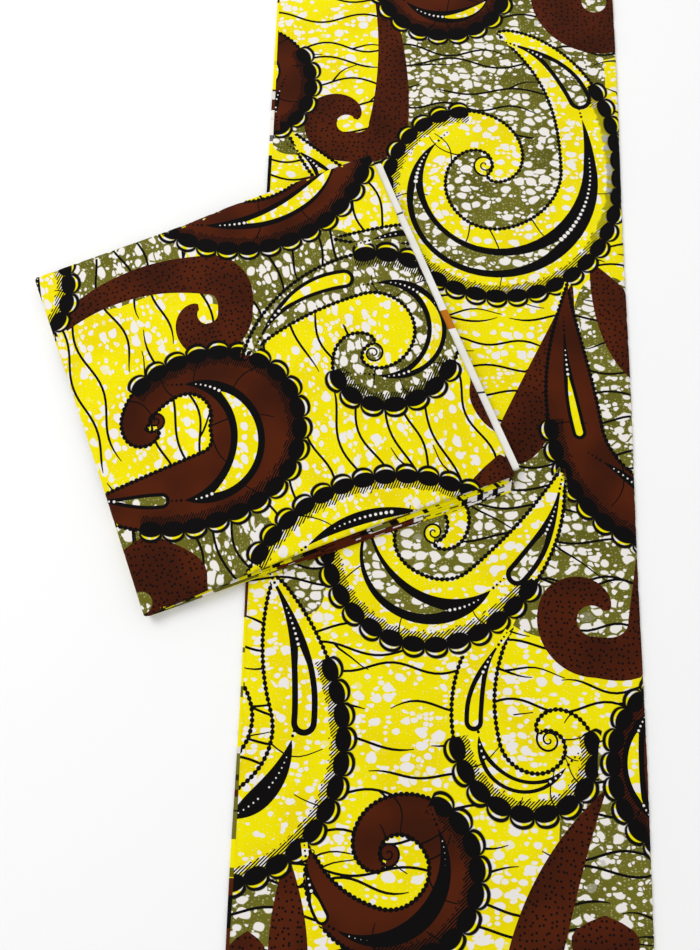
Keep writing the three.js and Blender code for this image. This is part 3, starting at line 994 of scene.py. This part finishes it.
class Signal:
    """A socket of a node graph, with the usual arithmetic."""

    def __init__(self, graph, socket):
        self.graph = graph
        self.socket = socket

    def __add__(self, other):
        return self.graph.math("ADD", self, other)

    def __sub__(self, other):
        return self.graph.math("SUBTRACT", self, other)

    def __rsub__(self, other):
        return self.graph.math("SUBTRACT", other, self)

    def __mul__(self, other):
        return self.graph.math("MULTIPLY", self, other)

    def __truediv__(self, other):
        return self.graph.math("DIVIDE", self, other)

    __radd__ = __add__


class Graph:
    """A material whose node graph is built from expressions."""

    def __init__(self, name):
        self.material = bpy.data.materials.new(name)
        self.material.use_nodes = True
        self.tree = self.material.node_tree
        self.shader = self.tree.nodes["Principled BSDF"]

    def node(self, kind, inputs=(), **settings):
        """A new node. inputs are values or signals, in order or by the names of the sockets."""
        made = self.tree.nodes.new(kind)
        for key, value in settings.items():
            setattr(made, key, value)
        for key, value in inputs.items() if isinstance(inputs, dict) else enumerate(inputs):
            self.put(value, made.inputs[key])
        return made

    def put(self, value, socket):
        if isinstance(value, Signal):
            self.tree.links.new(value.socket, socket)
        else:
            socket.default_value = value

    def signal(self, kind, inputs=(), output=0, **settings):
        return Signal(self, self.node(kind, inputs, **settings).outputs[output])

    def math(self, operation, *values):
        return self.signal("ShaderNodeMath", values, operation=operation)

    def vector(self, operation, *values):
        return self.signal("ShaderNodeVectorMath", values, operation=operation)

    def attribute(self, name, output="Fac"):
        return self.signal("ShaderNodeAttribute", (), output, attribute_name=name, attribute_type="GEOMETRY")

    def parts(self, vector):
        return [Signal(self, socket) for socket in self.node("ShaderNodeSeparateXYZ", [vector]).outputs]

    def joined(self, x, y, z=0.0):
        return self.signal("ShaderNodeCombineXYZ", (x, y, z))

    def noise(self, vector, scale, detail=2.0):
        made = self.node("ShaderNodeTexNoise", {"Vector": vector, "Scale": scale, "Detail": detail})
        return Signal(self, made.outputs["Fac"]), Signal(self, made.outputs["Color"])

    def cells(self, vector, scale, feature="F1", random=0.8):
        inputs = {"Vector": vector, "Scale": scale, "Randomness": random}
        made = self.node("ShaderNodeTexVoronoi", inputs, feature=feature, voronoi_dimensions="2D")
        distance = Signal(self, made.outputs["Distance"])
        if feature == "DISTANCE_TO_EDGE":
            return distance
        return distance, self.parts(Signal(self, made.outputs["Color"]))

    def step(self, value, low, high):
        """0 below low and 1 above high, smooth between them."""
        inputs = {"Value": value, "From Min": low, "From Max": high}
        return self.signal("ShaderNodeMapRange", inputs, interpolation_type="SMOOTHSTEP")

    def below(self, value, limit, soft):
        return 1.0 - self.step(value, limit - soft, limit + soft)

    def is_near(self, value, wanted):
        return self.signal("ShaderNodeMath", (value, wanted, 0.3), operation="COMPARE")

    def mix(self, share, first, second):
        return self.signal("ShaderNodeMix", {0: share, 6: first, 7: second}, 2, data_type="RGBA")

    def finish(self, colour, height, rough, bump):
        """Matt cotton with a bump of up to 0.2 mm."""
        made = self.node("ShaderNodeBump", {"Strength": bump, "Distance": 0.2 * MM, "Height": height})
        cotton = {"Base Color": colour, "Roughness": rough, "Specular IOR Level": 0.03, "Sheen Weight": 0.02,
                  "Sheen Roughness": 0.6, "Normal": Signal(self, made.outputs[0])}
        for key, value in cotton.items():
            self.put(value, self.shader.inputs[key])
        return self.material


def colour(red, green, blue):
    """A colour given as it looks on screen, 0 to 255."""
    parts = []
    for value in (red, green, blue):
        value /= 255
        parts.append(value / 12.92 if value <= 0.04045 else ((value + 0.055) / 1.055) ** 2.4)
    return (*parts, 1.0)


YELLOW_INK = colour(238, 225, 0)
YELLOW_DEEP = colour(231, 212, 0)
OLIVE_INK = colour(108, 105, 34)
OLIVE_DEEP = colour(92, 89, 26)
OLIVE_PALE = colour(186, 186, 130)
MAROON_INK = colour(80, 31, 10)
MAROON_DEEP = colour(58, 22, 8)
BLACK_INK = colour(11, 9, 9)
BARE_COTTON = colour(233, 228, 223)
SELVEDGE_WHITE = colour(238, 236, 231)
SELVEDGE_DEEP = colour(228, 225, 218)


def printed_cotton(name, long_way):
    """long_way is how much the wax bubbles are drawn out along x and along y."""
    g = Graph(name)
    cloth = g.attribute("cloth", "Vector")
    ink = g.attribute("ink")
    mark = g.attribute("mark")
    u, v, size = g.parts(g.attribute("lane", "Vector"))
    # Wax bubbles: rounded blots where the dye did not reach
    _, drift = g.noise(cloth, 0.045, 1.0)
    drift = g.vector("SCALE", g.vector("SUBTRACT", drift, (0.5, 0.5, 0.5)))
    drift.socket.node.inputs["Scale"].default_value = 9.0
    place = g.vector("MULTIPLY", g.vector("ADD", cloth, drift), (*long_way, 1.0))
    big, (chance, chance2, _) = g.cells(place, 1 / 14.0)
    big_edge = g.cells(place, 1 / 14.0, "DISTANCE_TO_EDGE")
    small, (luck, luck2, _) = g.cells(place, 1 / 6.6, random=0.9)
    small_edge = g.cells(place, 1 / 6.6, "DISTANCE_TO_EDGE", 0.9)
    speck, (fleck, _, _) = g.cells(place, 1 / 3.2, random=1.0)
    cluster, _ = g.noise(cloth, 0.014, 1.0)
    swirl, _ = g.noise(cloth, 0.009, 1.0)
    dense = g.step(cluster, 0.42, 0.58)

    def blots(distance, edge, chosen, low, spread, rim, share):
        """Blots of chance sizes in a share of the cells, clear of each other and with soft corners."""
        size = chosen * spread + low - distance
        inside = g.math("SMOOTH_MIN", size, (edge - rim) * 1.4, 0.16)
        return g.step(inside, -0.015, 0.02) * g.step(share, -0.01, 0.01)

    # On the yellow: scattered blots, some in clusters
    yellow_big = blots(big, big_edge, chance, 0.24, 0.22, 0.03, chance2 + dense * 0.2 - 0.7)
    yellow_small = blots(small, small_edge, luck, 0.24, 0.28, 0.05, luck2 + dense * 0.16 - 0.75)
    bare_yellow = g.math("MAXIMUM", yellow_big, yellow_small)
    yellow = g.mix(g.step(cluster, 0.35, 0.7), YELLOW_INK, YELLOW_DEEP)
    yellow = g.mix(g.below(speck, fleck * 0.3 - 0.12, 0.04) * 0.45, yellow, BARE_COTTON)
    yellow = g.mix(bare_yellow, yellow, BARE_COTTON)
    # On the olive: larger blots close together in a web, smaller ones between them, each with a pale rim
    olive_big = blots(big, big_edge, chance, 0.26, 0.22, 0.075, chance2 + dense * 0.2 - 0.46)
    olive_rim = blots(big, big_edge, chance, 0.31, 0.23, 0.045, chance2 + dense * 0.2 - 0.46)
    olive_small = blots(small, small_edge, luck, 0.22, 0.26, 0.09, luck2 + dense * 0.16 - 0.7)
    bare_olive = g.math("MAXIMUM", olive_big, olive_small)
    olive = g.mix(g.step(swirl, 0.35, 0.65), OLIVE_INK, OLIVE_DEEP)
    olive = g.mix(g.below(speck, fleck * 0.34 - 0.06, 0.05) * 0.6, olive, OLIVE_PALE)
    olive = g.mix((olive_rim - olive_big) * 0.45, olive, OLIVE_PALE)
    olive = g.mix(bare_olive, olive, BARE_COTTON)
    # Maroon, plain or with small black dots
    maroon = g.mix(g.step(cluster, 0.3, 0.7), MAROON_INK, MAROON_DEEP)
    dot, _ = g.cells(cloth, 1 / 6.8, random=0.72)
    dotted = g.mix(g.below(dot, 0.2, 0.04), maroon, BLACK_INK)
    shade = yellow
    for kind, tone in ((OLIVE, olive), (MAROON, maroon), (DOTTED, dotted), (BLACK, BLACK_INK)):
        shade = g.mix(g.is_near(ink, kind), shade, tone)
    # Marks that repeat along a line
    across = g.math("FRACT", u) - 0.5

    def disc(dx, dy, wide, high, soft=0.06):
        x, y = (across - dx) / wide, (v - dy) / high
        return g.below(g.math("SQRT", x * x + y * y), 1.0, soft)

    bead = g.math("MAXIMUM", disc(0, 0, 0.48, 0.44, 0.1), g.below(g.math("ABSOLUTE", v), 0.2, 0.06))
    shade = g.mix(bead * g.is_near(mark, BEADS), shade, BLACK_INK)
    outer = disc(0.02, -0.08, 0.53, 0.46)
    gleam = disc(-0.01, -0.03, 0.43, 0.35)
    core = disc(-0.02, 0.07, 0.55, 0.35)
    x, y, _ = g.parts(cloth)
    stripe = g.step(g.math("FRACT", (x - y) / 3.9), 0.38, 0.5)
    ragged, _ = g.noise(cloth, 0.22, 0.0)
    fringe = g.below(v, 0.42 + ragged * 0.4, 0.02) * g.step(v, 0.05, 0.1)
    is_scallop = g.is_near(mark, SCALLOPS)
    shade = g.mix(stripe * fringe * is_scallop, shade, BLACK_INK)
    shade = g.mix(outer * is_scallop, shade, BLACK_INK)
    shade = g.mix(gleam * is_scallop, shade, g.mix(bare_olive, YELLOW_INK, BARE_COTTON))
    shade = g.mix(core * is_scallop, shade, BLACK_INK)
    spot = g.below(g.math("SQRT", across * across + v * v), size * 0.36, 0.05)
    shade = g.mix(spot * g.is_near(mark, WHITE_DOTS), shade, BARE_COTTON)
    shade = g.mix(spot * g.is_near(mark, BLACK_DOTS), shade, BLACK_INK)
    # Plain weave and a slight unevenness of the surface
    weave = g.math("SINE", x * 14.0) * g.math("SINE", y * 14.0)
    fuzz, _ = g.noise(cloth, 1.1, 3.0)
    return g.finish(shade, weave * 0.4 + fuzz, 0.75, 0.2)


# Colour runs along the bundle's near side, up to a layer: each run's start in millimetres and its ink
NEAR_INKS = {"y": YELLOW_INK, "k": BLACK_INK, "o": OLIVE_INK, "m": MAROON_INK, "w": BARE_COTTON}
NEAR_RUNS = {
    "lower": [
        (2.5, "0y 38k 60y 150o 200m 346y 398k 403w 420k 427w 438k 445y"),
        (6.5, "0k 26o 70w 84o 140y 162m 334w 345y 394k 402w 414k 422w 434k 441w"),
        (9.0, "0o 10k 24y 36o 50k 62y 84o 106w 116y 127k 132y 158k 168y 182o 196k 214m 268k 284o "
              "306k 316y 348k 354y 392k 397y 419k 424y 440k 445y"),
    ],
    "upper": [
        (9.0, "0m 14k 29y 36o 46k 66y 80k 90o 110w 118o 130k 144w 158o 170y 176k 204y 236k 246y "
              "318k 332y 408k 412y 436k 440y"),
    ],
}


def layer_edges(name, seed, near=()):
    """Blocks of the print's colours along the folded edges, each few layers with their own run."""
    g = Graph(name)
    along, layer, level = g.parts(g.attribute("edge", "Vector"))
    layer = g.math("ROUND", layer)
    fold = g.math("FLOOR", (layer + 1.0) / 3.0)
    _, (pick, _, _) = g.cells(g.joined(along / 46.0 + fold * 7.31 + seed, fold * 3.0), 1.0)
    _, (bit, _, _) = g.cells(g.joined(along / 9.0 + layer * 3.7, layer * 5.0 + seed), 1.0)
    shade = BLACK_INK
    for low, ink in ((0.2, OLIVE_INK), (0.4, YELLOW_INK), (0.74, MAROON_INK), (0.9, BARE_COTTON)):
        shade = g.mix(g.step(pick, low, low + 0.01), shade, ink)
    for top, runs in reversed(near):
        (_, band), *later = ((int(run[:-1]), NEAR_INKS[run[-1]]) for run in runs.split())
        for start, ink in later:
            band = g.mix(g.step(along, start - 0.5, start + 0.5), band, ink)
        shade = g.mix(g.below(layer, top, 0.1) * g.below(along, 458.0, 0.5), shade, band)
    shade = g.mix(g.step(bit, 0.84, 0.85) * 0.85, shade, BLACK_INK)
    shade = g.mix(g.step(bit, 0.96, 0.97) * 0.85, shade, BARE_COTTON)
    fuzz, _ = g.noise(g.joined(along, layer, level), 0.9, 3.0)
    return g.finish(shade, fuzz, 0.8, 0.3)


# Plain blocks on the selvedge, as lengths round its outline from the near left corner
BLOCK_ORANGE, BLOCK_GREY = colour(188, 112, 24), colour(60, 60, 66)
SELVEDGE_BLOCKS = [(658, 686, BLOCK_ORANGE), (564, 567, BLOCK_GREY), (832, 835, BLOCK_GREY)]


def bare_selvedge():
    g = Graph("selvedge")
    along, layer, level = g.parts(g.attribute("edge", "Vector"))
    tone, _ = g.noise(g.joined(along, level, layer), 0.03, 3.0)
    fuzz, _ = g.noise(g.joined(along, level, layer), 1.2, 3.0)
    shade = g.mix(g.step(tone, 0.3, 0.7), SELVEDGE_WHITE, SELVEDGE_DEEP)
    for start, end, ink in SELVEDGE_BLOCKS:
        block = g.step(along, start, start + 0.6) * g.below(along, end, 0.3)
        shade = g.mix(block, shade, ink)
    return g.finish(shade, fuzz, 0.8, 0.3)


# The pieces
laid_cotton = printed_cotton("laid_print", (0.82, 1.12))
bundle_cotton = printed_cotton("bundle_print", (1.12, 0.82))

laid_print = printed(
    LAID_PATCHES, ((-228, -609, 228, 609), "x", 31, 3), LAID_LEAVES, LAID_DISCS, LAID_HOOKS,
    LAID_SCROLLS, LAID_CRESCENTS, LAID_NEEDLES, 40)
bundle_print = printed(
    BUNDLE_PATCHES, ((-230, -230, 230, 230), "y", 34, 8), BUNDLE_LEAVES, BUNDLE_DISCS, BUNDLE_HOOKS,
    BUNDLE_SCROLLS, BUNDLE_CRESCENTS, BUNDLE_NEEDLES, 60)

laid_panel = cut_panel(laid_border(), laid_points(), laid_print)
laid_grid = scattered((LAID_LEFT, -CLOTH_WIDTH / 2), (LAID_RIGHT, CLOTH_WIDTH / 2), 26.0, 2)
laid_top = closed_cloth("laid_cloth", laid_panel, laid_shape, laid_grid, laid_cotton)

bundle_border = moved_loop(ROLL_START, LIP_RADIUS * math.pi / 2 + LIP_DROP - LIP_RADIUS)
bundle_rows = [moved_loop(ROLL_START, d) for d in (0.0, 1.0, 2.0, 3.0, 4.1)]
bundle_grid = scattered((-230, -228), (233, 228), 9.0, 3)
bundle_points = np.concatenate([bundle_grid[inside(bundle_grid, moved_loop(ROLL_START, -3))], *bundle_rows])
bundle_panel = cut_panel(bundle_border, bundle_points, bundle_print)
under_points = np.concatenate([scattered((-232, -232), (235, 232), 24.0, 4), *bundle_rows[::2]])
bundle_top = closed_cloth("bundle_cloth", bundle_panel, bundle_shape, under_points, bundle_cotton)

laid_under = laid_stack("laid_layers", layer_edges("laid_edges", 0.0))
lower_edges = layer_edges("lower_edges", 11.0, NEAR_RUNS["lower"])
upper_edges = layer_edges("upper_edges", 23.0, NEAR_RUNS["upper"])
lower = bundle_stack("bundle_lower_layers", "lower", lower_edges, 0.3)
selvedge = bundle_stack("bundle_selvedge", "selvedge", bare_selvedge(), 1.0)
upper = bundle_stack("bundle_upper_layers", "upper", upper_edges, 1.0)

PIECES = (
    (laid_top, "laid_top_panel", "printed_cotton", (0.457, CLOTH_WIDTH * MM), "laid", ("laid_layers",)),
    (laid_under, "laid_lower_panels", "printed_cotton_layers", (0.457, CLOTH_WIDTH * MM), "folded", ()),
    (bundle_top, "folded_top_panel", "printed_cotton", (0.457, 0.457), "folded", ("bundle_upper_layers",)),
    (lower, "folded_lower_layers", "printed_cotton_layers", (0.457, 0.457), "folded", ("laid_cloth",)),
    (selvedge, "folded_selvedge_layers", "selvedge", (0.457, 0.45), "folded", ("bundle_lower_layers",)),
    (upper, "folded_upper_layers", "printed_cotton_layers", (0.457, 0.457), "folded", ("bundle_selvedge",)),
)
for piece, node, finish, flat, held, rests_on in PIECES:
    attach(piece, "root")
    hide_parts(node)
for piece, node, finish, flat, held, rests_on in PIECES:
    list(rests_on)

# Floor, light and camera
floor_mesh = bpy.data.meshes.new("floor")
floor_mesh.from_pydata([(-6, -6, 0), (6, -6, 0), (6, 6, 0), (-6, 6, 0)], [], [(0, 1, 2, 3)])
floor = bpy.data.objects.new("floor", floor_mesh)
bpy.context.collection.objects.link(floor)
paper = Graph("floor_paper")
paper.shader.inputs["Base Color"].default_value = (0.93, 0.93, 0.93, 1)
paper.shader.inputs["Roughness"].default_value = 0.9
floor_mesh.materials.append(paper.material)
floor.location.z = -0.0002

scene = bpy.context.scene
scene.view_settings.view_transform = "Standard"
scene.view_settings.look = "None"
world = bpy.data.worlds.new("studio")
scene.world = world
world.use_nodes = True
background = world.node_tree.nodes["Background"]
background.inputs["Color"].default_value = (1, 1, 1, 1)
background.inputs["Strength"].default_value = 0.75


def area_light(name, place, aim, size, power):
    light = bpy.data.lights.new(name, "AREA")
    light.shape = "SQUARE"
    light.size = size
    light.energy = power
    lamp = bpy.data.objects.new(name, light)
    lamp.location = place
    lamp.rotation_euler = (Vector(aim) - Vector(place)).to_track_quat("-Z", "Y").to_euler()
    bpy.context.collection.objects.link(lamp)


area_light("key", (-1.6, 1.2, 2.4), (0, 0, 0), 1.6, 42)

# The camera's place in metres from the middle of the laid stretch, its view and focal length in pixels
VIEW_HEIGHT, FOCAL_LENGTH, SENSOR = 950, 800, 36.0
CAMERA_PLACE = (-0.1055, -0.2667, 0.9394)
CAMERA_TILT, CAMERA_TURN = 11.65, 1.608
camera_data = bpy.data.cameras.new("camera")
camera_data.sensor_width = SENSOR
camera_data.lens = SENSOR * FOCAL_LENGTH / VIEW_HEIGHT
camera = bpy.data.objects.new("camera", camera_data)
camera.location = (STRIP_MIDDLE[0] * MM + CAMERA_PLACE[0], *CAMERA_PLACE[1:])
camera.rotation_euler = (math.radians(CAMERA_TILT), 0, math.radians(CAMERA_TURN))
bpy.context.collection.objects.link(camera)
scene.camera = camera
